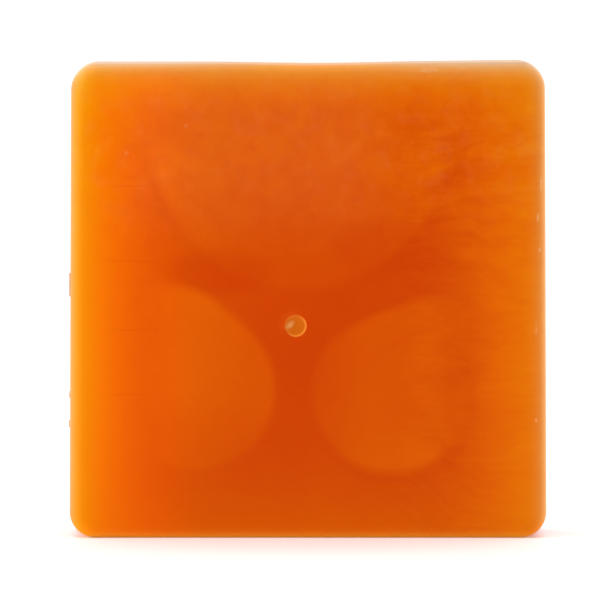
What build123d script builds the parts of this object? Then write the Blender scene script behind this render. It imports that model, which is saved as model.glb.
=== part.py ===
from build123d import *
import os

os.makedirs("parts", exist_ok=True)

# A square hanging case trap for orchard and vineyard moths. The translucent front cover swings open on the
# right, three bays behind it hold glue cards, insects walk in through cones at the back, and the lure plugs
# into a hub between the bays. Millimetres, +Z up, front face towards -Y, origin under the middle of the case.

# ---------------------------------------------------------------- overall
depth = 32.0
wall = 3.0
corner_radius = 5.5
cover_base_width = 100.4
cover_top_width = 99.4
cover_height = 99.35
case_inset = 0.3
case_height = cover_height - 2 * case_inset
front_y = -depth / 2
rear_y = depth / 2
split_y = 4.0
beyond = 60.0
floor_bite = 0.5
front_inner_y = front_y + wall
rear_inner_y = rear_y - wall
front_edge_radius = 2.6
rear_edge_radius = 2.0
side_x = cover_base_width / 2

# ---------------------------------------------------------------- gate mark and hub, on one axis
hub_x = -2.6
hub_z = 44.7
gate_sphere_radius = 6.0
gate_depth = 0.45
# the cast cover's top isn't quite straight: (x, rise above cover_height)
top_rises = (
    (-44.0, 0.36),
    (-30.0, 0.36),
    (-14.0, 0.25),
    (-2.0, 0.05),
    (8.0, 0.09),
    (22.0, 0.42),
    (33.0, 0.56),
    (44.0, 0.7),
)
# marks that stand proud of the cover's left edge, just behind its front rounding: (z, length, rise)
edge_marks = ((53.2, 5.0, 0.24), (30.1, 1.4, 0.16), (24.0, 1.6, 0.18))
edge_mark_thickness = 1.0
edge_mark_rounding = 0.8

# ---------------------------------------------------------------- bays; circles are (x, z, radius)
top_bay = {"middle_x": -1.6, "half_width": 31.0, "corner_z": 82.0, "crown_z": 87.1, "bottom_z": 52.8}
left_bay_inner = (-24.0, 31.5, 17.0)
left_bay_outer = (-31.4, 42.0, 11.0)
right_bay_inner = (17.6, 30.0, 16.7)
right_bay_outer = (30.0, 38.5, 11.5)
bay_corner_radius = 4.0
bay_wall = 1.6
card_ledge = 1.5
card_gap = 0.3
card_thickness = 0.8

# ---------------------------------------------------------------- divider
divider_front_y = -12.4
plate_thickness = 2.0
divider_rear_y = 9.6
divider_edge_gap = 5.0
card_recess = 0.9
hub_radius = 7.2
hub_bore = 6.0
hub_slot_width = 4.0
hub_slot_length = 12.0
hub_slot_y = -1.0
hub_slot_radius = 9.0
hub_slot_depth = 8.0
hub_slot_angles = {"top": 90, "left": 213, "right": 324}
screw_points = ((-38.0, 66.0), (37.0, 66.0), (-3.0, 9.5))
post_radius = 3.4
screw_head_radius = 2.6
screw_head_height = 1.3
screw_radius = 1.1
screw_length = 12.0
screw_tip_gap = 0.5
screw_shank_gap = 0.1
screw_head_gap = 0.2
head_rise_gap = 0.1
cross_length = 3.0
cross_width = 0.7
cross_depth = 0.8

# ---------------------------------------------------------------- fixing holes
fixing_x = 42.0
fixing_low_z = 8.5
fixing_high_z = 90.5
fixing_radius = 2.1
fixing_access_radius = 6.5

# ---------------------------------------------------------------- rain lip and drain holes
lip_seat = 2.5
lip_seat_thickness = 1.5
lip_gap = 0.2
lip_thickness = 1.3
lip_rise = 2.0
drain_xs = (-28.0, 0.0, 28.0)
drain_y = 9.5
drain_radius = 1.5

# ---------------------------------------------------------------- hinge
hinge_x = side_x - wall
barrel_radius = 2.5
barrel_gap = 0.3
barrel_end_gap = 0.2
pin_radius = 1.0
pin_running_gap = 0.05
pin_chamfer = 0.2
pin_low_z = 5.0
pin_high_z = 95.0
plug_radius = 1.5
plug_length = 2.8
case_barrels = ((0.0, 14.0), (45.0, 55.0), (86.0, case_height))
cover_barrels = ((14.2, 44.8), (55.2, 85.8))
hinge_windows = ((-1.0, 14.2), (44.8, 55.2), (85.8, 101.0))
hinge_relief = 3.3
hinge_strip_depth = 6.5
lip_end_x = 43.2
lip_end_rear_y = split_y + 3.0
thumb_scoop_z = 78.0
thumb_scoop_radius = 8.0
thumb_scoop_length = 14.0
thumb_scoop_offset = 6.8
thumb_scoop_set_back = 3.0

# ---------------------------------------------------------------- latch, in the left wall
latch_travel = 4.0
latch_low_z = 20.0
latch_high_z = 60.0
pad_face_x = -49.45
pad_back_x = -48.35
ridge_face_x = -49.98
# thumb ridge and two grip nibs: (low z, high z)
ridges = ((50.2, 57.8), (29.3, 30.9), (22.8, 25.2))
ridge_side_gap = 0.3
ridge_rounding = 0.45
flange_back_x = -46.85
flange_front_y = 5.6
flange_rear_y = 12.8
lip_overlap = 0.8
latch_gap = 0.2
hook_low_z = 34.0
hook_stem_z = 38.0
hook_high_z = 41.0
hook_toe_y = 8.0
hook_tip_y = 9.8
hook_out_x = -48.0
hook_in_x = -46.95
hook_root = 3.0
hook_gap = 0.6
hook_side_gap = 0.3
lip_notch_gap = 1.0
lip_notch_in_x = -44.9
window_gap = 0.4
toe_gap = 0.2
latch_boss_out_x = -47.2
latch_boss_in_x = -44.6
latch_boss_below = 4.0
latch_boss_above = 8.0
pocket_high_z = latch_high_z + latch_travel + 2 * latch_gap
spring_slot = ((-46.8, 8.0, 49.5), (-45.2, 11.0, 60.5))
spring_rear_y = 10.7
spring_width = 2.4
spring_low_z = 50.0
spring_high_z = 60.0
spring_foot_x = -45.6
spring_bow = 1.1
spring_thickness = 0.3

# ---------------------------------------------------------------- bail
wire_radius = 1.25
wire_gap = 0.35
bail_y = 13.4
pivot_z = 90.0
bail_half_width = 30.0
bail_bend = 5.0
stub_bend = 2.2
crossbar_z = 57.0
stub_end_x = 37.2
bush_start_x = 33.0
bush_end_x = 37.5
bush_radius = 2.3
bush_running_gap = 0.05
groove_floor_gap = 0.25
groove_floor_y = bail_y - wire_radius - groove_floor_gap
rib_floor_y = 9.9
rib_wall = 1.6
boss_wall = 1.0
boss_half_height = 4.0
finger_notch_x = 20.0
finger_notch_z = crossbar_z + 1.0
finger_notch_width = 13.0
finger_notch_height = 8.0
finger_notch_rounding = 3.0

# ---------------------------------------------------------------- entry cones
cone_centres = {"top": (-1.6, 71.0), "left": (-24.0, 33.0), "right": (18.5, 32.0)}
cone_flange_radius = 9.0
cone_flange = 1.5
cone_barrel_radius = 7.5
cone_mouth_radius = 7.0
cone_throat_radius = 3.6
cone_wall = 1.2
cone_gap = 0.1

# ---------------------------------------------------------------- lure plug
cap_radius = 9.0
cap_gap = 0.3
cap_front_y = 13.6
cap_rear_y = 15.8
spigot_radius = 5.6
spigot_front_y = 10.0
cage_front_y = -9.5
cage_bore = 4.4
ring_radius = 0.6
ring_y = 11.8
scoop_offset = 10.5
scoop_radius = 5.5
collar_wall = 1.6
seat_gap = 0.1
cap_rim = 1.8
cap_grip_width = 3.0
cap_grip_depth = 1.2
cap_chamfer = 0.4
ring_squeeze_gap = 0.05
cage_floor = 1.2
cage_slot_angles = (0, 60, 120)
cage_slot_length = 13.0
cage_slot_width = 2.4
# the rubber septum: a stepped plug with a hollow back, (radius, y) from the front centre round to the back
septum_profile = (
    (0.0, cage_front_y + cage_floor),
    (3.3, cage_front_y + cage_floor),
    (3.3, -1.0),
    (4.2, -1.0),
    (4.2, 9.0),
    (2.2, 9.0),
    (1.8, 0.0),
    (0.0, 0.0),
)


def face_plane(y):
    """The plane at depth y seen from the front: sketches use X and Z, and extrude towards the front."""
    return Plane.XZ.offset(-y)


def box_between(low, high, mode=Mode.ADD):
    """A box from one corner to the opposite one, joined to the part being built."""
    size = [b - a for a, b in zip(low, high)]
    middle = tuple((a + b) / 2 for a, b in zip(low, high))
    with Locations(middle):
        Box(*size, mode=mode)


def left_edge_x(z):
    """Where the cover's left side stands at height z; it leans in a little towards the top."""
    return -side_x + (cover_base_width - cover_top_width) / 2 * z / cover_height


def square_outline(base_width, top_width, height):
    """A square with rounded corners that narrows a little towards the top."""
    with BuildSketch() as outline:
        with BuildLine():
            Polyline(
                (-base_width / 2, 0),
                (base_width / 2, 0),
                (top_width / 2, height),
                (-top_width / 2, height),
                close=True,
            )
        make_face()
        fillet(outline.vertices(), corner_radius)
    return outline.sketch


def egg_outline(inner, outer):
    """Two discs joined by their common tangents."""
    with BuildSketch() as egg:
        for x, z, radius in (inner, outer):
            with Locations((x, z)):
                Circle(radius)
        make_hull()
    return egg.sketch


def crowned_outline(middle_x, half_width, corner_z, crown_z, bottom_z, rounding):
    """A deep bowl under a shallow crown, with rounded corners where the two arcs meet."""
    left = (middle_x - half_width, corner_z)
    right = (middle_x + half_width, corner_z)
    with BuildSketch() as crowned:
        with BuildLine():
            ThreePointArc(left, (middle_x, crown_z), right)
            ThreePointArc(right, (middle_x, bottom_z), left)
        make_face()
        fillet(crowned.vertices(), rounding)
    return crowned.sketch


cover_outline = square_outline(cover_base_width, cover_top_width, cover_height)
case_outline = square_outline(
    cover_base_width - 2 * case_inset, cover_top_width - 2 * case_inset, case_height
)
bays = {
    "top": crowned_outline(**top_bay, rounding=bay_corner_radius),
    "left": egg_outline(left_bay_inner, left_bay_outer),
    "right": egg_outline(right_bay_inner, right_bay_outer),
}

# ---------------------------------------------------------------- front cover
left_shoulder_z = cover_height + top_rises[0][1]
right_shoulder_z = cover_height + top_rises[-1][1]
with BuildSketch() as cast_outline:
    with BuildLine():
        FilletPolyline(
            (top_rises[0][0], left_shoulder_z),
            (-cover_top_width / 2, left_shoulder_z),
            (-side_x, 0),
            (side_x, 0),
            (cover_top_width / 2, right_shoulder_z),
            (top_rises[-1][0], right_shoulder_z),
            radius=corner_radius,
        )
        Spline(*[(x, cover_height + rise) for x, rise in top_rises], tangents=((1, 0), (1, 0)))
    make_face()

with BuildPart() as front_cover:
    with BuildSketch(face_plane(split_y)):
        add(cast_outline.sketch)
    extrude(amount=split_y - front_y)
    fillet(front_cover.faces().sort_by(Axis.Y)[0].edges(), front_edge_radius)
    with BuildSketch(face_plane(split_y)):
        add(cover_outline)
        offset(amount=-wall)
    extrude(amount=split_y - front_inner_y, mode=Mode.SUBTRACT)
    # barrels that turn on the pin, and room for the case's own barrels
    for low_z, high_z in cover_barrels:
        with BuildSketch(Plane.XY.offset(low_z)):
            with Locations((hinge_x, split_y)):
                Circle(barrel_radius)
        extrude(amount=high_z - low_z)
    for low_z, high_z in hinge_windows:
        with BuildSketch(Plane.XY.offset(low_z)):
            with Locations((hinge_x, split_y)):
                Circle(barrel_radius + barrel_gap)
        extrude(amount=high_z - low_z, mode=Mode.SUBTRACT)
    with BuildSketch(Plane.XY):
        with Locations((hinge_x, split_y)):
            Circle(pin_radius + pin_running_gap)
    extrude(amount=cover_height, mode=Mode.SUBTRACT)
    # seat for the latch hook
    box_between(
        (hook_out_x, split_y - hook_root, hook_stem_z),
        (hook_in_x, split_y, hook_high_z),
        mode=Mode.SUBTRACT,
    )
    # thumb scoop at the opening edge
    with Locations((-side_x - thumb_scoop_offset, split_y - thumb_scoop_set_back, thumb_scoop_z)):
        Cylinder(radius=thumb_scoop_radius, height=thumb_scoop_length, mode=Mode.SUBTRACT)
    # marks on the left edge
    with BuildSketch(face_plane(front_y + front_edge_radius + edge_mark_thickness)):
        for mark_z, length, rise in edge_marks:
            with Locations((left_edge_x(mark_z), mark_z)):
                RectangleRounded(2 * rise, length, edge_mark_rounding * rise)
    extrude(amount=edge_mark_thickness)
    # gate mark
    with Locations((hub_x, front_y - gate_sphere_radius + gate_depth, hub_z)):
        Sphere(radius=gate_sphere_radius, mode=Mode.SUBTRACT)
front_cover.part.label = "front_cover"
export_step(front_cover.part, "parts/front_cover.step")

# ---------------------------------------------------------------- latch hook, set into the cover's wall
with BuildPart() as latch_hook:
    box_between((hook_out_x, split_y - hook_root, hook_stem_z), (hook_in_x, hook_tip_y, hook_high_z))
    box_between((hook_out_x, hook_toe_y, hook_low_z), (hook_in_x, hook_tip_y, hook_stem_z))
latch_hook.part.label = "latch_hook"
export_step(latch_hook.part, "parts/latch_hook.step")

# ---------------------------------------------------------------- back case
groove_half = wire_radius + wire_gap
groove_height = 2 * (case_height - crossbar_z)
with BuildSketch() as groove:
    # a U that runs out through the top, cut from a tall frame around the crossbar's corners
    with Locations((0, crossbar_z + groove_height / 2)):
        RectangleRounded(
            2 * (bail_half_width + groove_half), groove_height + 2 * groove_half, bail_bend + groove_half
        )
        RectangleRounded(
            2 * (bail_half_width - groove_half),
            groove_height - 2 * groove_half,
            bail_bend - groove_half,
            mode=Mode.SUBTRACT,
        )
    for side in (-1, 1):
        with Locations((side * (bail_half_width + bush_start_x - groove_half) / 2, pivot_z)):
            Rectangle(bush_start_x - bail_half_width + groove_half, 2 * boss_half_height)
    with Locations((finger_notch_x, finger_notch_z)):
        RectangleRounded(finger_notch_width, finger_notch_height, finger_notch_rounding)

with BuildPart() as back_case:
    with BuildSketch(face_plane(rear_y)):
        add(case_outline)
    extrude(amount=rear_y - split_y)
    fillet(back_case.faces().sort_by(Axis.Y)[-1].edges(), rear_edge_radius)
    with BuildSketch(face_plane(rear_inner_y)):
        add(case_outline)
        offset(amount=-wall)
    extrude(amount=rear_inner_y - split_y, mode=Mode.SUBTRACT)
    # rain lip that nests inside the cover
    with BuildSketch(face_plane(split_y + lip_seat)):
        add(case_outline)
        offset(amount=-wall)
        offset(amount=-lip_seat_thickness, mode=Mode.SUBTRACT)
    extrude(amount=lip_seat)
    with BuildSketch(face_plane(split_y)):
        add(case_outline)
        offset(amount=-wall - lip_gap)
        offset(amount=-lip_thickness, mode=Mode.SUBTRACT)
    extrude(amount=lip_rise)
    box_between(
        (lip_end_x, split_y - lip_rise, 0),
        (side_x - case_inset - wall, lip_end_rear_y, case_height),
        mode=Mode.SUBTRACT,
    )
    # hinge side: room for the cover's edge, then the strip and the barrels
    box_between((hinge_x, split_y, 0), (beyond, split_y + hinge_relief, case_height), mode=Mode.SUBTRACT)
    box_between(
        (hinge_x - barrel_radius, split_y, wall),
        (hinge_x, split_y + hinge_strip_depth, case_height - wall),
    )
    for low_z, high_z in cover_barrels:
        with BuildSketch(Plane.XY.offset(low_z - barrel_end_gap)):
            with Locations((hinge_x, split_y)):
                Circle(barrel_radius + barrel_gap)
        extrude(amount=high_z - low_z + 2 * barrel_end_gap, mode=Mode.SUBTRACT)
    for low_z, high_z in case_barrels:
        with BuildSketch(Plane.XY.offset(low_z)):
            with Locations((hinge_x, split_y)):
                Circle(barrel_radius)
        extrude(amount=high_z - low_z)
    # ribs behind the wire groove, the bush bosses and the collar behind the lure cap
    with BuildSketch(face_plane(rear_inner_y + floor_bite)):
        add(groove.sketch)
        offset(amount=rib_wall)
    extrude(amount=rear_inner_y + floor_bite - rib_floor_y)
    for side in (-1, 1):
        boss_x = sorted((side * (bush_start_x - boss_wall), side * (bush_end_x + rib_wall)))
        box_between(
            (boss_x[0], rib_floor_y, pivot_z - boss_half_height),
            (boss_x[1], rear_inner_y + floor_bite, pivot_z + boss_half_height),
        )
    with BuildSketch(face_plane(rear_inner_y + floor_bite)):
        with Locations((hub_x, hub_z)):
            SlotOverall(
                2 * (scoop_offset + scoop_radius + collar_wall), 2 * (cap_radius + collar_wall)
            )
    extrude(amount=rear_inner_y + floor_bite - rib_floor_y)
    # posts for the divider
    with BuildSketch(face_plane(rear_inner_y + floor_bite)):
        with Locations(*screw_points):
            Circle(post_radius)
    extrude(amount=rear_inner_y + floor_bite - divider_front_y - plate_thickness)
    # latch boss and pocket
    box_between(
        (latch_boss_out_x, split_y, latch_low_z - latch_boss_below),
        (latch_boss_in_x, rear_inner_y + floor_bite, latch_high_z + latch_boss_above),
    )
    box_between(
        (-beyond, flange_front_y + lip_overlap - latch_gap, latch_low_z - 2 * latch_gap),
        (pad_back_x + latch_gap, flange_rear_y - lip_overlap + latch_gap, pocket_high_z),
        mode=Mode.SUBTRACT,
    )
    box_between(
        (pad_back_x - latch_gap, flange_front_y - latch_gap, latch_low_z - 2 * latch_gap),
        (flange_back_x + latch_gap, flange_rear_y + latch_gap, pocket_high_z),
        mode=Mode.SUBTRACT,
    )
    box_between(
        (hook_out_x - hook_gap, split_y - hook_root, hook_low_z - hook_side_gap),
        (flange_back_x + latch_gap, flange_front_y, hook_high_z + hook_side_gap),
        mode=Mode.SUBTRACT,
    )
    box_between(
        (hook_in_x - hook_gap, split_y - hook_root, hook_low_z - lip_notch_gap),
        (lip_notch_in_x, split_y, hook_high_z + lip_notch_gap),
        mode=Mode.SUBTRACT,
    )
    box_between(spring_slot[0], spring_slot[1], mode=Mode.SUBTRACT)
    # everything so far stays inside the outline
    with BuildSketch(face_plane(rear_y)):
        add(case_outline)
    extrude(amount=rear_y - divider_front_y, mode=Mode.INTERSECT)
    # wire groove and bush bores
    with BuildSketch(face_plane(rear_y)):
        add(groove.sketch)
    extrude(amount=rear_y - groove_floor_y, mode=Mode.SUBTRACT)
    for side in (-1, 1):
        with BuildSketch(Plane.YZ.offset(side * bush_end_x)):
            with Locations((bail_y, pivot_z)):
                Circle(bush_radius)
        extrude(amount=-side * (bush_end_x - bush_start_x + floor_bite), mode=Mode.SUBTRACT)
    # lure bore, cap recess and finger scoops
    with BuildSketch(face_plane(rear_y)):
        with Locations((hub_x, hub_z)):
            Circle(hub_bore)
    extrude(amount=rear_y - rib_floor_y, mode=Mode.SUBTRACT)
    with BuildSketch(face_plane(rear_y)):
        with Locations((hub_x, hub_z)):
            Circle(cap_radius + cap_gap)
        with Locations((hub_x - scoop_offset, hub_z), (hub_x + scoop_offset, hub_z)):
            Circle(scoop_radius)
    extrude(amount=rear_y - cap_front_y + seat_gap, mode=Mode.SUBTRACT)
    # cone seats
    with BuildSketch(face_plane(rear_y)):
        with Locations(*cone_centres.values()):
            Circle(cone_barrel_radius + cone_gap)
    extrude(amount=rear_y - rear_inner_y, mode=Mode.SUBTRACT)
    with BuildSketch(face_plane(rear_y)):
        with Locations(*cone_centres.values()):
            Circle(cone_flange_radius + cone_gap)
    extrude(amount=cone_flange, mode=Mode.SUBTRACT)
    # fixing holes
    with BuildSketch(face_plane(rear_y)):
        for x in (-fixing_x, fixing_x):
            with Locations((x, fixing_low_z), (x, fixing_high_z)):
                Circle(fixing_radius)
    extrude(amount=wall, mode=Mode.SUBTRACT)
    # pin bore, its plug seat, screw pilots and drain holes
    with BuildSketch(Plane.XY):
        with Locations((hinge_x, split_y)):
            Circle(pin_radius)
    extrude(amount=pin_high_z, mode=Mode.SUBTRACT)
    with BuildSketch(Plane.XY):
        with Locations((hinge_x, split_y)):
            Circle(plug_radius)
    extrude(amount=pin_low_z, mode=Mode.SUBTRACT)
    with BuildSketch(face_plane(screw_length + divider_front_y)):
        with Locations(*screw_points):
            Circle(screw_radius)
    extrude(amount=screw_length, mode=Mode.SUBTRACT)
    with BuildSketch(Plane.XY):
        for x in drain_xs:
            with Locations((x, drain_y)):
                Circle(drain_radius)
    extrude(amount=wall, mode=Mode.SUBTRACT)
back_case.part.label = "back_case"
export_step(back_case.part, "parts/back_case.step")

# ---------------------------------------------------------------- bay divider
plate_rear_y = divider_front_y + plate_thickness
with BuildPart() as bay_divider:
    with BuildSketch(face_plane(plate_rear_y)):
        add(case_outline)
        offset(amount=-divider_edge_gap)
        for x in (-fixing_x, fixing_x):
            with Locations((x, fixing_low_z), (x, fixing_high_z)):
                Circle(fixing_access_radius, mode=Mode.SUBTRACT)
    extrude(amount=plate_thickness)
    with BuildSketch(face_plane(divider_rear_y)):
        with Locations((hub_x, hub_z)):
            Circle(hub_radius)
    extrude(amount=divider_rear_y - plate_rear_y)
    with BuildSketch(face_plane(plate_rear_y)):
        for bay in bays.values():
            add(offset(bay, amount=-card_ledge, mode=Mode.PRIVATE))
    extrude(amount=plate_thickness, mode=Mode.SUBTRACT)
    with BuildSketch(face_plane(divider_front_y + card_recess)):
        for bay in bays.values():
            add(bay)
    extrude(amount=card_recess, mode=Mode.SUBTRACT)
    # hub bore, closed by the plate at the front
    with BuildSketch(face_plane(divider_rear_y)):
        with Locations((hub_x, hub_z)):
            Circle(hub_bore)
    extrude(amount=divider_rear_y - plate_rear_y, mode=Mode.SUBTRACT)
    # slots that let the scent out
    for angle in hub_slot_angles.values():
        with Locations(Location((hub_x, hub_slot_y, hub_z), (0, -angle, 0))):
            with Locations((hub_slot_radius, 0, 0)):
                Box(hub_slot_depth, hub_slot_length, hub_slot_width, mode=Mode.SUBTRACT)
    # screw seats
    with BuildSketch(face_plane(plate_rear_y)):
        with Locations(*screw_points):
            Circle(screw_radius + screw_shank_gap)
    extrude(amount=plate_thickness, mode=Mode.SUBTRACT)
    with BuildSketch(face_plane(divider_front_y + screw_head_height)):
        with Locations(*screw_points):
            Circle(screw_head_radius + screw_head_gap)
    extrude(amount=screw_head_height, mode=Mode.SUBTRACT)
bay_divider.part.label = "bay_divider"
export_step(bay_divider.part, "parts/bay_divider.step")

# ---------------------------------------------------------------- bay frames, behind the divider's windows
for place, bay in bays.items():
    with BuildPart() as bay_frame:
        with BuildSketch(face_plane(divider_rear_y)):
            add(offset(bay, amount=bay_wall, mode=Mode.PRIVATE))
            add(bay, mode=Mode.SUBTRACT)
            with Locations((hub_x, hub_z)):
                Circle(hub_radius, mode=Mode.SUBTRACT)
        extrude(amount=divider_rear_y - plate_rear_y)
        # slot that lets the scent in
        with Locations(Location((hub_x, hub_slot_y, hub_z), (0, -hub_slot_angles[place], 0))):
            with Locations((hub_slot_radius, 0, 0)):
                Box(hub_slot_depth, hub_slot_length, hub_slot_width, mode=Mode.SUBTRACT)
    bay_frame.part.label = "bay_frame_" + place
    export_step(bay_frame.part, "parts/bay_frame_" + place + ".step")

# ---------------------------------------------------------------- glue cards
for place, bay in bays.items():
    with BuildPart() as glue_card:
        with BuildSketch(face_plane(divider_front_y + card_recess)):
            add(offset(bay, amount=-card_gap, mode=Mode.PRIVATE))
        extrude(amount=card_thickness)
    glue_card.part.label = "glue_card_" + place
    export_step(glue_card.part, "parts/glue_card_" + place + ".step")

# ---------------------------------------------------------------- entry cones
for place, (cone_x, cone_z) in cone_centres.items():
    with BuildPart() as entry_cone:
        with BuildSketch(Plane.XY.offset(cone_z)):
            with BuildLine():
                Polyline(
                    (cone_x + cone_mouth_radius, rear_y),
                    (cone_x + cone_flange_radius, rear_y),
                    (cone_x + cone_flange_radius, rear_y - cone_flange),
                    (cone_x + cone_barrel_radius, rear_y - cone_flange),
                    (cone_x + cone_barrel_radius, rear_inner_y),
                    (cone_x + cone_throat_radius + cone_wall, 0),
                    (cone_x + cone_throat_radius, 0),
                    close=True,
                )
            make_face()
        revolve(axis=Axis((cone_x, 0, cone_z), (0, 1, 0)))
    entry_cone.part.label = "entry_cone_" + place
    export_step(entry_cone.part, "parts/entry_cone_" + place + ".step")

# ---------------------------------------------------------------- lure plug: cap, O-ring, cage and septum
with BuildPart() as lure_cap:
    with BuildSketch(face_plane(cap_rear_y)):
        with Locations((hub_x, hub_z)):
            Circle(cap_radius)
    extrude(amount=cap_rear_y - cap_front_y)
    chamfer(lure_cap.faces().sort_by(Axis.Y)[-1].edges(), cap_chamfer)
    with BuildSketch(face_plane(cap_rear_y)):
        with Locations((hub_x, hub_z)):
            Circle(cap_radius - cap_rim)
            Rectangle(cap_grip_width, 2 * cap_radius, mode=Mode.SUBTRACT)
    extrude(amount=cap_grip_depth, mode=Mode.SUBTRACT)
    with BuildSketch(face_plane(cap_front_y)):
        with Locations((hub_x, hub_z)):
            Circle(spigot_radius)
    extrude(amount=cap_front_y - spigot_front_y)
    with BuildSketch(face_plane(ring_y + ring_radius)):
        with Locations((hub_x, hub_z)):
            Circle(spigot_radius)
            Circle(hub_bore - ring_squeeze_gap - 2 * ring_radius, mode=Mode.SUBTRACT)
    extrude(amount=2 * ring_radius, mode=Mode.SUBTRACT)
lure_cap.part.label = "lure_cap"
export_step(lure_cap.part, "parts/lure_cap.step")

with BuildPart() as cap_o_ring:
    with BuildSketch(Plane.XY.offset(hub_z)):
        with Locations((hub_x + hub_bore - ring_squeeze_gap - ring_radius, ring_y)):
            Circle(ring_radius)
    revolve(axis=Axis((hub_x, 0, hub_z), (0, 1, 0)))
cap_o_ring.part.label = "cap_o_ring"
export_step(cap_o_ring.part, "parts/cap_o_ring.step")

with BuildPart() as lure_cage:
    with BuildSketch(face_plane(spigot_front_y)):
        with Locations((hub_x, hub_z)):
            Circle(spigot_radius)
    extrude(amount=spigot_front_y - cage_front_y)
    with BuildSketch(face_plane(spigot_front_y)):
        with Locations((hub_x, hub_z)):
            Circle(cage_bore)
    extrude(amount=spigot_front_y - cage_front_y - cage_floor, mode=Mode.SUBTRACT)
    for angle in cage_slot_angles:
        with Locations(Location((hub_x, 0, hub_z), (0, angle, 0))):
            Box(2 * hub_bore, cage_slot_length, cage_slot_width, mode=Mode.SUBTRACT)
lure_cage.part.label = "lure_cage"
export_step(lure_cage.part, "parts/lure_cage.step")

with BuildPart() as lure_septum:
    with BuildSketch(Plane.XY.offset(hub_z)):
        with BuildLine():
            Polyline(*[(hub_x + radius, y) for radius, y in septum_profile], close=True)
        make_face()
    revolve(axis=Axis((hub_x, 0, hub_z), (0, 1, 0)))
lure_septum.part.label = "lure_septum"
export_step(lure_septum.part, "parts/lure_septum.step")

# ---------------------------------------------------------------- hinge pin and its plug
with BuildPart() as hinge_pin:
    with BuildSketch(Plane.XY.offset(pin_low_z)):
        with Locations((hinge_x, split_y)):
            Circle(pin_radius)
    extrude(amount=pin_high_z - pin_low_z)
    chamfer(hinge_pin.edges().filter_by(GeomType.CIRCLE), pin_chamfer)
hinge_pin.part.label = "hinge_pin"
export_step(hinge_pin.part, "parts/hinge_pin.step")

with BuildPart() as hinge_pin_plug:
    with BuildSketch(Plane.XY.offset(pin_low_z - plug_length)):
        with Locations((hinge_x, split_y)):
            Circle(plug_radius)
    extrude(amount=plug_length)
hinge_pin_plug.part.label = "hinge_pin_plug"
export_step(hinge_pin_plug.part, "parts/hinge_pin_plug.step")

# ---------------------------------------------------------------- latch and its leaf spring
with BuildPart() as side_latch:
    box_between(
        (pad_back_x, flange_front_y, latch_low_z), (flange_back_x, flange_rear_y, latch_high_z)
    )
    # the L-shaped window that the cover's hook passes through, with the tooth beside it
    box_between(
        (pad_back_x, flange_front_y, hook_low_z - hook_side_gap),
        (flange_back_x, hook_tip_y + window_gap, hook_high_z + window_gap),
        mode=Mode.SUBTRACT,
    )
    box_between(
        (pad_back_x, hook_toe_y - toe_gap, hook_low_z - latch_travel - hook_side_gap),
        (flange_back_x, hook_tip_y + window_gap, hook_low_z),
        mode=Mode.SUBTRACT,
    )
    box_between(
        (pad_face_x, flange_front_y + lip_overlap, latch_low_z),
        (pad_back_x, flange_rear_y - lip_overlap, latch_high_z),
    )
    for ridge_low_z, ridge_high_z in ridges:
        box_between(
            (ridge_face_x, flange_front_y + lip_overlap + ridge_side_gap, ridge_low_z),
            (pad_face_x, flange_rear_y - lip_overlap - ridge_side_gap, ridge_high_z),
        )
    fillet(side_latch.edges().group_by(Axis.X)[0].filter_by(Axis.Y), ridge_rounding)
side_latch.part.label = "side_latch"
export_step(side_latch.part, "parts/side_latch.step")

with BuildPart() as latch_spring:
    with BuildSketch(face_plane(spring_rear_y)):
        with BuildLine():
            spring_middle_z = (spring_low_z + spring_high_z) / 2
            outer = ThreePointArc(
                (spring_foot_x, spring_low_z),
                (spring_foot_x - spring_bow, spring_middle_z),
                (spring_foot_x, spring_high_z),
            )
            inner = ThreePointArc(
                (spring_foot_x + spring_thickness, spring_low_z),
                (spring_foot_x + spring_thickness - spring_bow, spring_middle_z),
                (spring_foot_x + spring_thickness, spring_high_z),
            )
            Line(outer @ 1, inner @ 1)
            Line(outer @ 0, inner @ 0)
        make_face()
    extrude(amount=spring_width)
latch_spring.part.label = "latch_spring"
export_step(latch_spring.part, "parts/latch_spring.step")

# ---------------------------------------------------------------- hanger bail and its bushes
with BuildPart() as hanger_bail:
    with BuildLine(face_plane(bail_y)) as wire:
        FilletPolyline(
            (stub_end_x, pivot_z),
            (bail_half_width, pivot_z),
            (bail_half_width, crossbar_z),
            (-bail_half_width, crossbar_z),
            (-bail_half_width, pivot_z),
            (-stub_end_x, pivot_z),
            radius=(stub_bend, bail_bend, bail_bend, stub_bend),
        )
    with BuildSketch(Plane(origin=wire.line @ 0, z_dir=wire.line % 0)):
        Circle(wire_radius)
    sweep()
hanger_bail.part.label = "hanger_bail"
export_step(hanger_bail.part, "parts/hanger_bail.step")

with BuildPart() as bail_bushes:
    for side in (-1, 1):
        with BuildSketch(Plane.YZ.offset(side * bush_end_x)):
            with Locations((bail_y, pivot_z)):
                Circle(bush_radius)
                Circle(wire_radius + bush_running_gap, mode=Mode.SUBTRACT)
        extrude(amount=-side * (bush_end_x - bush_start_x))
bail_bushes.part.label = "bail_bushes"
export_step(bail_bushes.part, "parts/bail_bushes.step")

# ---------------------------------------------------------------- divider screws
with BuildPart() as divider_screws:
    with BuildSketch(face_plane(divider_front_y + screw_head_height)):
        with Locations(*screw_points):
            Circle(screw_head_radius)
    extrude(amount=screw_head_height - head_rise_gap)
    with BuildSketch(face_plane(divider_front_y + screw_length - screw_tip_gap)):
        with Locations(*screw_points):
            Circle(screw_radius)
    extrude(amount=screw_length - screw_head_height - screw_tip_gap)
    with BuildSketch(face_plane(divider_front_y + head_rise_gap + cross_depth)):
        with Locations(*screw_points):
            Rectangle(cross_length, cross_width)
            Rectangle(cross_width, cross_length)
    extrude(amount=cross_depth, mode=Mode.SUBTRACT)
divider_screws.part.label = "divider_screws"
export_step(divider_screws.part, "parts/divider_screws.step")
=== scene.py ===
import math

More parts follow.
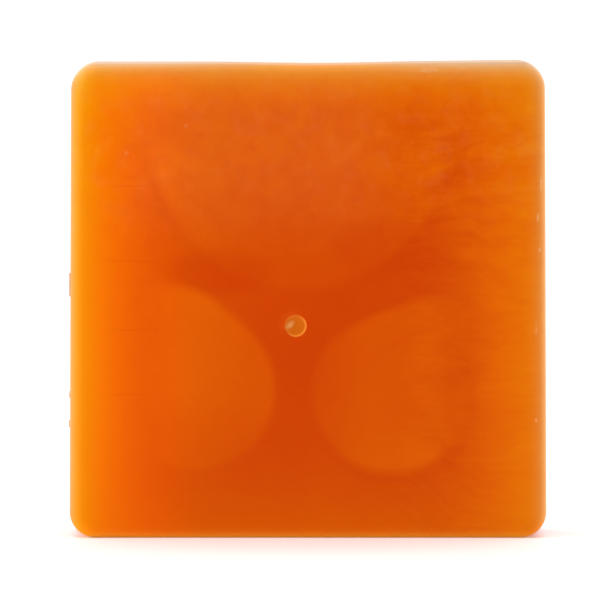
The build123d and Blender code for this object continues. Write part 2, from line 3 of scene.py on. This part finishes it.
import bpy
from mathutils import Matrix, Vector


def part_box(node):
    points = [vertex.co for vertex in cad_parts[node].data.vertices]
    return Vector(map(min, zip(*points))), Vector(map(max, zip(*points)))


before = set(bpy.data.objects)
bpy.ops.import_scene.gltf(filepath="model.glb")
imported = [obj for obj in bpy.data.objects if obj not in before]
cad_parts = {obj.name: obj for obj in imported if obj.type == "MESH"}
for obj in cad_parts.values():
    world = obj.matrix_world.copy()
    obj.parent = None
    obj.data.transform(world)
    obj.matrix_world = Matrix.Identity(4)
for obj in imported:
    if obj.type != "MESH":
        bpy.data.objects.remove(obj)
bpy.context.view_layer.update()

MM = 0.001

# ---------------------------------------------------------------- places read from the frame
cover_low, cover_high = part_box("front_cover")
front_y = cover_low.y
cover_height = cover_high.z - cover_low.z
hub_low, hub_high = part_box("lure_cap")
hub = (hub_low + hub_high) / 2

# the edges that the colours are worked out from, in mm
cover_half_width = 50.2  # at the foot, without the marks on its sides
cover_lean = 0.00268  # how much nearer to the middle a side glows, per mm of height
cover_top_z = cover_height / MM - 0.3  # the top isn't straight, and this is about its mean height
corner_radius = 5.5
case_half_width = 49.9
case_top_z = 98.75


# ---------------------------------------------------------------- node materials written as expressions
class Field:
    """A number that varies over a surface. Arithmetic on fields adds Math nodes to the material."""

    def __init__(self, tree, socket):
        self.tree = tree
        self.socket = socket

    def math(self, operation, *others):
        node = self.tree.nodes.new("ShaderNodeMath")
        node.operation = operation
        for slot, value in zip(node.inputs, (self, *others)):
            if isinstance(value, Field):
                self.tree.links.new(value.socket, slot)
            else:
                slot.default_value = value
        return Field(self.tree, node.outputs[0])

    def __add__(self, other):
        return self.math("ADD", other)

    def __sub__(self, other):
        return self.math("SUBTRACT", other)

    def __mul__(self, other):
        return self.math("MULTIPLY", other)

    def __truediv__(self, other):
        return self.math("DIVIDE", other)

    __radd__ = __add__
    __rmul__ = __mul__

    def __rsub__(self, other):
        return (self * -1.0) + other

    def power(self, other):
        return self.math("POWER", other)

    def low(self, other):
        return self.math("MINIMUM", other)

    def high(self, other):
        return self.math("MAXIMUM", other)

    def size(self):
        return self.math("ABSOLUTE")

    def falloff(self, length):
        """1 at zero, dying away over the length."""
        return (self * (-1.0 / length)).math("EXPONENT")

    def bell(self, length):
        """1 at zero and near it, then dying away over the length."""
        return (self / length).power(2.0).falloff(1.0)

    def step(self, start, end):
        """0 at start and 1 at end, or the other way round, with a smooth passage."""
        node = self.tree.nodes.new("ShaderNodeMapRange")
        node.interpolation_type = "SMOOTHERSTEP"
        self.tree.links.new(self.socket, node.inputs["Value"])
        low, high = min(start, end), max(start, end)
        node.inputs["From Min"].default_value = low
        node.inputs["From Max"].default_value = high
        node.inputs["To Min"].default_value = 0.0 if start < end else 1.0
        node.inputs["To Max"].default_value = 1.0 if start < end else 0.0
        return Field(self.tree, node.outputs["Result"])


def length_of(*parts):
    """The square root of the sum of the squares of some fields."""
    total = parts[0].power(2.0)
    for part in parts[1:]:
        total = total + part.power(2.0)
    return total.power(0.5)


# the colour sockets of a Mix node
MIX_A = 6
MIX_B = 7
MIX_RESULT = 2


class Finish:
    """A new material: its Principled shader, the object's own coordinates in mm, and what feeds it."""

    def __init__(self, name, roughness=0.4, specular=0.5, **sockets):
        self.material = bpy.data.materials.new(name)
        self.material.use_nodes = True
        self.tree = self.material.node_tree
        self.shader = self.tree.nodes["Principled BSDF"]
        self.shader.inputs["Roughness"].default_value = roughness
        self.shader.inputs["Specular IOR Level"].default_value = specular
        for key, value in sockets.items():
            self.shader.inputs[key.replace("_", " ")].default_value = value
        coordinates = self.tree.nodes.new("ShaderNodeTexCoord")
        scaled = self.tree.nodes.new("ShaderNodeVectorMath")
        scaled.operation = "SCALE"
        scaled.inputs["Scale"].default_value = 1.0 / MM
        self.tree.links.new(coordinates.outputs["Object"], scaled.inputs[0])
        self.point = scaled.outputs[0]
        split = self.tree.nodes.new("ShaderNodeSeparateXYZ")
        self.tree.links.new(self.point, split.inputs[0])
        self.x, self.y, self.z = (Field(self.tree, out) for out in split.outputs)

    def joined(self, x, y, z):
        """A point from three fields or numbers."""
        node = self.tree.nodes.new("ShaderNodeCombineXYZ")
        for slot, value in zip(node.inputs, (x, y, z)):
            if isinstance(value, Field):
                self.tree.links.new(value.socket, slot)
            else:
                slot.default_value = value
        return node.outputs[0]

    def noise(self, scale, detail=2.0, roughness=0.5, point=None, distortion=0.0):
        """Smooth noise about zero; scale is features per mm."""
        node = self.tree.nodes.new("ShaderNodeTexNoise")
        node.inputs["Scale"].default_value = scale
        node.inputs["Detail"].default_value = detail
        node.inputs["Roughness"].default_value = roughness
        node.inputs["Distortion"].default_value = distortion
        self.tree.links.new(point or self.point, node.inputs["Vector"])
        return Field(self.tree, node.outputs["Fac"]) - 0.5

    def colour_ramp(self, field, stops):
        """Colours, given as sRGB bytes, along a field from 0 to 1."""
        node = self.tree.nodes.new("ShaderNodeValToRGB")
        self.tree.links.new(field.socket, node.inputs["Fac"])
        ramp = node.color_ramp
        while len(ramp.elements) < len(stops):
            ramp.elements.new(0.5)
        # every place is set before the colours, so that the order is settled by then
        for element, (position, _) in zip(ramp.elements, stops):
            element.position = position
        for element, (_, colour) in zip(ramp.elements, stops):
            element.color = (*linear(colour), 1.0)
        return node.outputs["Color"]

    def mixed(self, colour_a, colour_b, share):
        """The first colour with a share of the second over it; each is sRGB bytes or a socket."""
        node = self.tree.nodes.new("ShaderNodeMix")
        node.data_type = "RGBA"
        node.clamp_factor = True
        self.tree.links.new(share.socket, node.inputs["Factor"])
        for slot, value in ((node.inputs[MIX_A], colour_a), (node.inputs[MIX_B], colour_b)):
            if isinstance(value, tuple):
                slot.default_value = (*linear(value), 1.0)
            else:
                self.tree.links.new(value, slot)
        return node.outputs[MIX_RESULT]

    def paint(self, colour):
        self.tree.links.new(colour, self.shader.inputs["Base Color"])

    def rough(self, field):
        self.tree.links.new(field.socket, self.shader.inputs["Roughness"])

    def bump(self, field, height_mm):
        node = self.tree.nodes.new("ShaderNodeBump")
        node.inputs["Distance"].default_value = height_mm * MM
        node.inputs["Strength"].default_value = 1.0
        self.tree.links.new(field.socket, node.inputs["Height"])
        self.tree.links.new(node.outputs["Normal"], self.shader.inputs["Normal"])


def linear(colour):
    """sRGB bytes as linear values."""
    return tuple(
        (c / 255 / 12.92) if c / 255 <= 0.04045 else ((c / 255 + 0.055) / 1.055) ** 2.4 for c in colour
    )


# ---------------------------------------------------------------- camera, light, floor
def aim(thing, target):
    thing.rotation_mode = "QUATERNION"
    thing.rotation_quaternion = (Vector(target) - thing.location).to_track_quat("-Z", "Y")


LENS = 600.0
SENSOR = 36.0
FRAME_WIDTH = 0.1259
CAMERA_RISE = math.radians(2.8)
# the middle of the frame is a little to the left of the trap's middle, and a hair above it
VIEW_RIGHT = -0.00168
VIEW_UP = 0.0001

view_target = Vector((VIEW_RIGHT, front_y, cover_height / 2 + VIEW_UP))
camera_distance = FRAME_WIDTH * LENS / SENSOR
camera_data = bpy.data.cameras.new("camera")
camera_data.lens = LENS
camera_data.sensor_width = SENSOR
camera = bpy.data.objects.new("camera", camera_data)
bpy.context.scene.collection.objects.link(camera)
bpy.context.scene.camera = camera
camera.location = view_target + camera_distance * Vector(
    (0, -math.cos(CAMERA_RISE), math.sin(CAMERA_RISE))
)
aim(camera, view_target)
camera_data.clip_start = 0.05
camera_data.clip_end = 60.0
bpy.context.scene.view_settings.view_transform = "Standard"


def softbox(name, place, target, width, height, power):
    light = bpy.data.lights.new(name, "AREA")
    light.shape = "RECTANGLE"
    light.size = width
    light.size_y = height
    light.energy = power
    box = bpy.data.objects.new(name, light)
    box.location = place
    bpy.context.scene.collection.objects.link(box)
    aim(box, target)
    box.visible_camera = False


centre = Vector((0, 0, cover_height / 2))
softbox("key_left", (-0.75, -0.45, 0.35), centre, width=0.5, height=0.7, power=3.0)
softbox("overhead", (0.0, 0.15, 0.9), centre, width=1.2, height=1.0, power=5.0)

WHITE = (1.0, 1.0, 1.0, 1.0)
# the light of the studio, and how much of it is left straight towards the camera
STUDIO_LIGHT = 1.04
STUDIO_DIMMEST = 0.02


def studio_world():
    """White to look at. The light that it gives is dim on the camera's side, as gloss shows."""
    world = bpy.data.worlds.new("studio")
    bpy.context.scene.world = world
    world.use_nodes = True
    tree = world.node_tree
    tree.nodes.clear()
    output = tree.nodes.new("ShaderNodeOutputWorld")
    white = tree.nodes.new("ShaderNodeBackground")
    white.inputs["Color"].default_value = WHITE
    white.inputs["Strength"].default_value = 1.0
    lit = tree.nodes.new("ShaderNodeBackground")
    lit.inputs["Color"].default_value = WHITE
    coordinates = tree.nodes.new("ShaderNodeTexCoord")
    split = tree.nodes.new("ShaderNodeSeparateXYZ")
    tree.links.new(coordinates.outputs["Generated"], split.inputs[0])
    # the y of a direction: -1 is straight towards the camera
    backwards = Field(tree, split.outputs["Y"])
    strength = backwards.step(-0.95, -0.25) * STUDIO_LIGHT + STUDIO_DIMMEST
    tree.links.new(strength.socket, lit.inputs["Strength"])
    ray = tree.nodes.new("ShaderNodeLightPath")
    mix = tree.nodes.new("ShaderNodeMixShader")
    tree.links.new(ray.outputs["Is Camera Ray"], mix.inputs[0])
    tree.links.new(lit.outputs[0], mix.inputs[1])
    tree.links.new(white.outputs[0], mix.inputs[2])
    tree.links.new(mix.outputs[0], output.inputs["Surface"])


studio_world()


FLOOR_REACH = 20.0
TABLE_EDGE = -0.5
FLOOR_GLOW = 0.16
TABLE_WHITE = (254, 254, 254)
TABLE_WARM = (230, 216, 207)


def make_floor():
    """A white table that ends a little in front of the trap."""
    mesh = bpy.data.meshes.new("floor")
    corners = [
        (-FLOOR_REACH, TABLE_EDGE, 0),
        (FLOOR_REACH, TABLE_EDGE, 0),
        (FLOOR_REACH, FLOOR_REACH, 0),
        (-FLOOR_REACH, FLOOR_REACH, 0),
    ]
    mesh.from_pydata(corners, [], [(0, 1, 2, 3)])
    floor = bpy.data.objects.new("floor", mesh)
    bpy.context.scene.collection.objects.link(floor)
    # it glows a little by itself, so that the trap's shadow on it is faint
    f = Finish(
        "floor_white", roughness=0.55, specular=0.25, Emission_Color=WHITE, Emission_Strength=FLOOR_GLOW
    )
    # a warm tint in front of the trap, as from light that comes back off the orange moulding
    ahead = (front_y / MM - f.y).high(0.0)
    warmth = ahead.falloff(120.0) * (1.0 - ahead.falloff(18.0) * 0.75) * f.x.size().step(95.0, 30.0)
    f.paint(f.mixed(TABLE_WHITE, TABLE_WARM, warmth + f.noise(0.01) * 0.02))
    mesh.materials.append(f.material)


make_floor()


# ---------------------------------------------------------------- the orange plastic
# Colours along the depth of translucent plastic that the light has crossed: 0 is deepest, 1 is the rim.
ORANGE = (
    (0.00, (200, 54, 2)),
    (0.08, (207, 65, 2)),
    (0.17, (213, 75, 2)),
    (0.27, (220, 87, 2)),
    (0.40, (229, 102, 2)),
    (0.55, (233, 118, 3)),
    (0.75, (239, 138, 7)),
    (1.00, (247, 160, 18)),
)
# The same along the left side, where the key light comes in.
LIT_ORANGE = (
    (0.00, (200, 54, 2)),
    (0.08, (208, 66, 2)),
    (0.17, (218, 76, 2)),
    (0.30, (231, 90, 2)),
    (0.42, (241, 104, 2)),
    (0.55, (246, 118, 2)),
    (0.80, (246, 142, 3)),
    (1.00, (248, 162, 10)),
)
# other colours of the moulding, and of the light painted on it, as sRGB bytes
PALE_LIGHT_AND_CLOUD = (250, 222, 192)
FOOT_HIGHLIGHT = (255, 190, 70)
SCUFF = (250, 208, 156)
HAIRLINE = (196, 60, 6)
BLACK = (0, 0, 0)
CASE_DEEP = (60, 12, 2)
GATE_BLUSH = (236, 112, 30)
GATE_FLOOR = (214, 106, 17)
GATE_RING = (243, 137, 46)
GATE_LIGHT = (230, 152, 82)

# the colour ramps run over this many steps of the green channel, from this one up
RAMP_START = 56.0
RAMP_LENGTH = 104.0
# the green channel of the face where no edge glow and no bay reaches
FACE_GREEN = 64.5


def spot(f, x, z, half_x, half_z):
    """1 in the middle of a soft-edged oval and 0 outside it; millimetres."""
    return length_of((f.x - x) / half_x, (f.z - z) / half_z).step(1.25, 0.45)


# discs on the face: (x, z, radius, half the width of the soft edge), mm
TOP_LOBE = (-1.6, 83.6, 31.0, 1.9)
TOP_FADE = (-1.6, -8.0, 95.0, 7.0)  # so wide that only its upper edge shows, where it ends the lobe
LEFT_LOBE = ((-24.0, 31.5, 17.0, 1.5), (-26.0, 33.9, 16.6, 1.6), (-29.5, 38.0, 15.6, 1.8))
RIGHT_LOBE = ((17.6, 30.2, 16.7, 1.9), (21.0, 32.0, 16.6, 1.4), (26.0, 34.4, 15.9, 1.8))
CRESCENT = (18.5, 28.6, 17.6, 1.6)
CRESCENT_INSIDE = (17.6, 31.0, 16.4, 1.6)


def bay_lights(f):
    """How much lighter each bay shows through the front, in steps of the green channel."""
    wobble = f.noise(0.05, 2.0) * 1.4

    def disc(x, z, radius, soft):
        away = length_of(f.x - x, f.z - z) + wobble
        return away.step(radius + soft, radius - soft)

    def union(discs):
        shape = disc(*discs[0])
        for each in discs[1:]:
            shape = shape.high(disc(*each))
        return shape

    top = disc(*TOP_LOBE) * disc(*TOP_FADE) * (f.z.step(54.0, 80.0) * 5.0 + 6.0)
    left = union(LEFT_LOBE) * f.x.step(-38.0, -22.0) * (f.z.step(14.0, 34.0) * 8.0 + 7.0)
    right = union(RIGHT_LOBE) * f.x.step(36.0, 22.0) * (f.x.step(0.0, 16.0) * 7.0 + 8.0)
    # darker places: a crescent under the right lobe, and the two arms between the top bay and the others
    crescent = (disc(*CRESCENT) - disc(*CRESCENT_INSIDE)).high(0.0) * 3.0
    arms = spot(f, -18.5, 56.0, 12.0, 5.5) * 7.0 + spot(f, 15.0, 61.0, 11.0, 6.0) * 3.5
    return top + left + right - crescent - arms


def edge_distances(f):
    """How far in from the left, right, top and bottom edge of the cover a place is, mm."""
    left = (f.x + cover_half_width - f.z * cover_lean).high(0.0)
    right = (cover_half_width - f.x - f.z * cover_lean).high(0.0)
    top = (cover_top_z - f.z).high(0.0)
    bottom = f.z.high(0.0)
    return left, right, top, bottom


def edge_glow(from_left, from_right, from_top, from_bottom):
    """The light that comes in through the edges, in steps of the green channel.

    Each edge has a wide glow and, close to the edge, a narrow one.
    """
    left = from_left.falloff(14.0) * 73.0 + from_left.falloff(3.0) * 34.0
    right = from_right.bell(17.5) * 46.0 + from_right.falloff(1.4) * 46.0
    top = from_top.falloff(17.0) * 42.0 + from_top.falloff(3.2) * 50.0
    bottom = from_bottom.falloff(14.0) * 29.0 + from_bottom.falloff(0.7) * 60.0
    return length_of(left, right, top, bottom)


def fan(f, x, z, nearest, bend, stretch, layer, spread, distortion):
    """Noise drawn out into streaks that fan out to the right from (x, z)."""
    slope = (f.z - z) / (f.x - x).high(nearest) + bend
    along = f.joined(f.x * stretch, layer, slope * spread)
    return f.noise(1.0, 4.0, 0.6, point=along, distortion=distortion)


def flow_marks(f):
    """What the plastic's flow left, in steps of the green channel."""
    clouds = f.noise(0.035, 3.0) * 9.0 + f.noise(0.16, 4.0, 0.6) * 5.0
    bend = f.noise(0.045, 2.0) * 0.34 + f.noise(0.13, 2.0) * 0.08
    high_fan = fan(f, -8.0, 70.0, 14.0, bend, stretch=0.055, layer=0.0, spread=13.0, distortion=0.5)
    high_fan = high_fan * 30.0 * f.x.step(12.0, 32.0) * f.z.step(40.0, 58.0) * f.z.step(96.0, 84.0)
    low_fan = fan(f, -14.0, 32.0, 16.0, bend * 1.3, stretch=0.06, layer=7.0, spread=9.0, distortion=0.6)
    low_fan = low_fan * 26.0 * f.x.step(8.0, 30.0) * f.z.step(56.0, 42.0)
    level = f.joined(f.x * 0.14, 3.0, f.z * 0.85)
    wisps = f.noise(1.0, 4.0, 0.6, point=level, distortion=0.5) * 13.0 * f.x.step(10.0, 26.0)
    blotches = f.noise(0.24, 3.0, 0.55, distortion=0.4) * 20.0 * f.z.step(48.0, 76.0)
    fine = f.noise(0.7, 3.0, 0.6) * 3.0
    return clouds + high_fan + low_fan + wisps + blotches + fine


def painted_rim_light(f, from_left, from_right, from_top):
    """How much painted light, in a pale colour, shows along the top, left and right edges and round the
    corners, where the rounded edges face the lights; most on the left, where the key light comes in.
    """
    side = (corner_radius - from_left.low(from_right)).high(0.0)
    cap = (corner_radius - from_top).high(0.0)
    from_outline = (corner_radius - length_of(side, cap)).high(0.0)
    top = from_top.step(9.0, 2.0) * 0.17 * from_outline.falloff(1.3)
    left = f.x.step(0.0, -40.0) * 0.50 * from_outline.falloff(0.55)
    right = f.x.step(0.0, 40.0) * 0.40 * from_outline.falloff(0.85)
    return top + left + right


def painted_sheen_and_clouds(f):
    """How much of the pale colour lies over the upper half of the face: a veil of painted reflection from
    a softbox, and faint pale clouds.
    """
    veil = f.z.step(55.0, 78.0) * f.x.step(24.0, 4.0) * f.x.step(-44.0, -30.0) * 0.010
    return veil + f.noise(0.3, 4.0, 0.6).high(0.0) * f.z.step(56.0, 84.0) * 0.07


# pale rubbed places along the edges, and specks: (x, z, half width, half height, strength)
SCUFFS = (
    (25.2, 98.3, 2.2, 0.55, 0.30),
    (32.5, 98.9, 0.8, 0.30, 0.16),
    (48.9, 74.4, 0.25, 1.8, 0.40),
    (48.2, 67.4, 0.30, 1.1, 0.34),
    (48.6, 60.6, 0.25, 0.6, 0.30),
    (47.9, 44.2, 0.22, 1.5, 0.26),
    (47.9, 24.8, 0.25, 0.5, 0.30),
    (-38.0, 81.0, 0.60, 0.60, 0.12),
    (-25.6, 86.7, 0.50, 0.50, 0.07),
)
# a scuff whose half width and half height add up to more than this is broken up
WHOLE_SCUFF = 1.0
# faint dark hairlines near the left edge: (left x, right x, z, rise)
HAIRLINES = (
    (-41.5, -31.0, 73.9, 0.3),
    (-43.0, -30.0, 58.5, -0.4),
    (-42.0, -29.5, 43.8, 0.2),
    (-42.0, -32.0, 30.1, 0.5),
)


def worn(f, colour):
    """Scuffs and hairlines over a colour."""
    broken = (f.noise(1.1, 4.0, 0.65) + 0.5).step(0.36, 0.62)
    for x, z, half_x, half_z, strength in SCUFFS:
        share = spot(f, x, z, half_x, half_z) * strength
        if half_x + half_z > WHOLE_SCUFF:
            share = share * (broken * 0.7 + 0.3)
        colour = f.mixed(colour, SCUFF, share)
    for left, right, z, rise in HAIRLINES:
        run = (f.x - left) / (right - left)
        off_line = (f.z - run * rise - z + f.noise(0.12, 2.0) * 0.8).size()
        between = f.x.step(left - 1.0, left + 3.0) * f.x.step(right + 1.0, right - 4.0)
        colour = f.mixed(colour, HAIRLINE, off_line.step(0.28, 0.05) * between * 0.15)
    return colour


def gate_mark(f, colour):
    """The dimple where the moulding's gate was, which catches the light on its right."""
    right = f.x - hub.x / MM
    up = f.z - hub.z / MM
    away = length_of(right, up)
    slant = right * 0.8 - up * 0.6
    colour = f.mixed(colour, GATE_BLUSH, away.step(4.4, 2.2) * slant.step(0.0, -2.4) * 0.14)
    colour = f.mixed(colour, GATE_FLOOR, away.step(2.3, 2.0) * 0.92)
    # the dimple's edge as a ring, lighter on its lower right wall, where painted light falls
    ring = away.step(1.75, 2.1) * away.step(2.45, 2.2) * (slant.step(-1.2, 1.4) * 0.62 + 0.30)
    colour = f.mixed(colour, GATE_RING, ring)
    # the patch of light in the dimple, longer along the rising diagonal
    diagonal = 0.707
    along = (right + up + 1.05) * diagonal / 1.35
    across = (right - up + 1.35) * diagonal / 0.75
    patch = length_of(along, across).step(1.25, 0.1)
    return f.mixed(colour, GATE_LIGHT, patch * 0.95)


def orange_moulding():
    """The cover's translucent plastic: where it glows, what shows through it, and what lies on it."""
    f = Finish("cover_orange", roughness=0.3, specular=0.03)
    from_left, from_right, from_top, from_bottom = edge_distances(f)
    # behind its front rounding a side wall is plain orange, with less painted glow and hardly any painted
    # rim light
    behind = (f.y - front_y / MM).step(2.4, 7.0) * from_top.step(0.4, 2.2)
    glow = edge_glow(from_left, from_right, from_top, from_bottom) * (1.0 - behind * 0.62)
    green = glow + bay_lights(f) + flow_marks(f) + FACE_GREEN
    depth = (green - RAMP_START) / RAMP_LENGTH
    lit = f.x.step(-18.0, -36.0)
    colour = f.mixed(f.colour_ramp(depth, ORANGE), f.colour_ramp(depth, LIT_ORANGE), lit)
    # painted light on the rounded edges, most on the left, then a painted reflection and faint pale
    # clouds over the upper face, all in one pale colour
    pale = painted_rim_light(f, from_left, from_right, from_top) * (1.0 - behind * 0.9)
    colour = f.mixed(colour, PALE_LIGHT_AND_CLOUD, pale + painted_sheen_and_clouds(f))
    colour = worn(f, colour)
    colour = gate_mark(f, colour)
    # painted shade on the rounded edges, which face the lights and so get more light than the face, but
    # not on what stands proud
    lighting = (from_top.falloff(0.7) * 0.6).high(from_left.bell(1.25) * 0.38) + 1.0
    proud = (f.x + cover_half_width - f.z * cover_lean).step(0.0, -0.08)
    painted_shade = (1.0 - lighting.power(-1.0)) * (1.0 - proud) * (1.0 - behind * 0.5)
    colour = f.mixed(colour, BLACK, painted_shade)
    # a painted highlight along the foot, where the bottom rounding reflects the floor
    colour = f.mixed(colour, FOOT_HIGHLIGHT, from_bottom.falloff(0.45) * 0.9)
    f.paint(colour)
    f.rough(f.noise(0.15, 3.0) * 0.12 + 0.32)
    f.bump(f.noise(0.08, 2.0) + f.noise(1.2, 2.0) * 0.06, 0.05)
    return f.material


def case_moulding(name, depth_shift=0.0):
    """The cover's plastic with more in the way of the light: deep in the middle, lighter at the edges."""
    f = Finish(name, roughness=0.35, specular=0.3)
    from_side = (case_half_width - f.x.size()).high(0.0)
    from_top = (case_top_z - f.z).high(0.0)
    from_bottom = f.z.high(0.0)
    edge = from_side.falloff(9.0) * 0.16 + from_top.falloff(9.0) * 0.14 + from_bottom.falloff(9.0) * 0.08
    rim = from_side.low(from_top).falloff(1.2) * (f.y.step(4.0, 7.0) * 0.12 + 0.04)
    clouds = f.noise(0.04, 3.0) * 0.14 + f.noise(0.18, 4.0, 0.6) * 0.07 + f.noise(0.8, 3.0, 0.6) * 0.03
    upright = f.joined(f.x * 0.05, f.y * 0.2, f.z * 0.4)
    flow = f.noise(1.0, 3.0, 0.55, point=upright, distortion=0.6) * 0.08
    depth = edge + rim + clouds + flow + (0.05 + depth_shift)
    grain = (f.noise(0.9, 5.0, 0.7) + 0.5).step(0.62, 0.78)
    colour = f.mixed(f.colour_ramp(depth, ORANGE), CASE_DEEP, grain * 0.05 + 0.14)
    f.paint(colour)
    f.rough(f.noise(0.2, 3.0) * 0.15 + 0.36)
    f.bump(f.noise(0.1, 2.0) + f.noise(1.6, 3.0) * 0.15, 0.04)
    return f.material


# ---------------------------------------------------------------- the other materials
def glue_card():
    """Card under a clear coat of glue: wet ridges from the spreader, and the card's own fibres."""
    f = Finish("card", roughness=0.22, specular=0.5, Coat_Weight=0.6, Coat_Roughness=0.12)
    spread = f.joined(f.x * 0.22, 0.0, f.z * 1.1)
    ridges = f.noise(0.8, 3.0, 0.5, point=spread, distortion=0.8)
    fibres = f.noise(2.4, 4.0, 0.7, point=f.joined(f.x * 0.5, f.y, f.z * 1.6))
    colour = f.mixed((218, 201, 152), (238, 227, 190), ridges * 0.9 + fibres * 0.5 + 0.5)
    specks = (f.noise(3.1) + 0.5).step(0.70, 0.76)
    f.paint(f.mixed(colour, (164, 136, 86), specks * 0.5))
    f.rough(ridges * 0.25 + 0.28)
    f.bump(ridges + fibres * 0.2, 0.18)
    return f.material


def plain_moulding(name, dark, light, roughness=0.5):
    """Plastic or rubber of one colour, a little uneven, with a fine grain."""
    f = Finish(name, roughness=roughness, specular=0.4)
    f.paint(f.mixed(dark, light, f.noise(0.3, 4.0) * 1.6 + 0.5))
    f.rough(f.noise(0.8, 3.0) * 0.2 + roughness)
    f.bump(f.noise(2.5, 3.0), 0.02)
    return f.material


def steel(name, light, dark, roughness=0.3):
    """Plated steel with fine marks drawn out along its height."""
    f = Finish(name, roughness=roughness, specular=0.5, Metallic=1.0)
    stretched = f.joined(f.x * 3.0, f.y * 3.0, f.z * 0.4)
    f.paint(f.mixed(dark, light, f.noise(0.8, 4.0, point=stretched) * 1.8 + 0.5))
    f.rough(f.noise(1.5, 3.0, point=stretched) * 0.25 + roughness)
    f.bump(f.noise(4.0, 2.0, point=stretched), 0.01)
    return f.material


# ---------------------------------------------------------------- which piece has which material
finishes = {
    "front_cover": orange_moulding(),
    "back_case": case_moulding("case_orange"),
    "side_latch": case_moulding("latch_orange", -0.03),
    "bay_divider": plain_moulding("insert_orange", (170, 70, 14), (190, 84, 18)),
    "glue_card_top": glue_card(),
    "entry_cone_top": plain_moulding("cone_plastic", (226, 218, 196), (236, 230, 212)),
    "lure_cap": plain_moulding("cap_plastic", (26, 26, 27), (38, 38, 39)),
    "lure_septum": plain_moulding("septum_rubber", (122, 42, 28), (140, 52, 36), 0.7),
    "cap_o_ring": plain_moulding("seal_rubber", (16, 16, 16), (26, 26, 26), 0.6),
    "bail_bushes": plain_moulding("bush_plastic", (20, 20, 20), (34, 34, 34)),
    "hanger_bail": steel("wire_steel", (190, 190, 186), (150, 150, 148)),
    "divider_screws": steel("small_steel", (200, 200, 196), (165, 165, 162), 0.22),
}
shared_finish = {
    "bay_frame_top": "bay_divider",
    "bay_frame_left": "bay_divider",
    "bay_frame_right": "bay_divider",
    "latch_hook": "side_latch",
    "glue_card_left": "glue_card_top",
    "glue_card_right": "glue_card_top",
    "entry_cone_left": "entry_cone_top",
    "entry_cone_right": "entry_cone_top",
    "lure_cage": "lure_cap",
    "hinge_pin_plug": "bail_bushes",
    "hinge_pin": "hanger_bail",
    "latch_spring": "divider_screws",
}

for node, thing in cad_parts.items():
    material = finishes[shared_finish.get(node, node)]
    for slot in thing.material_slots:
        slot.material = material
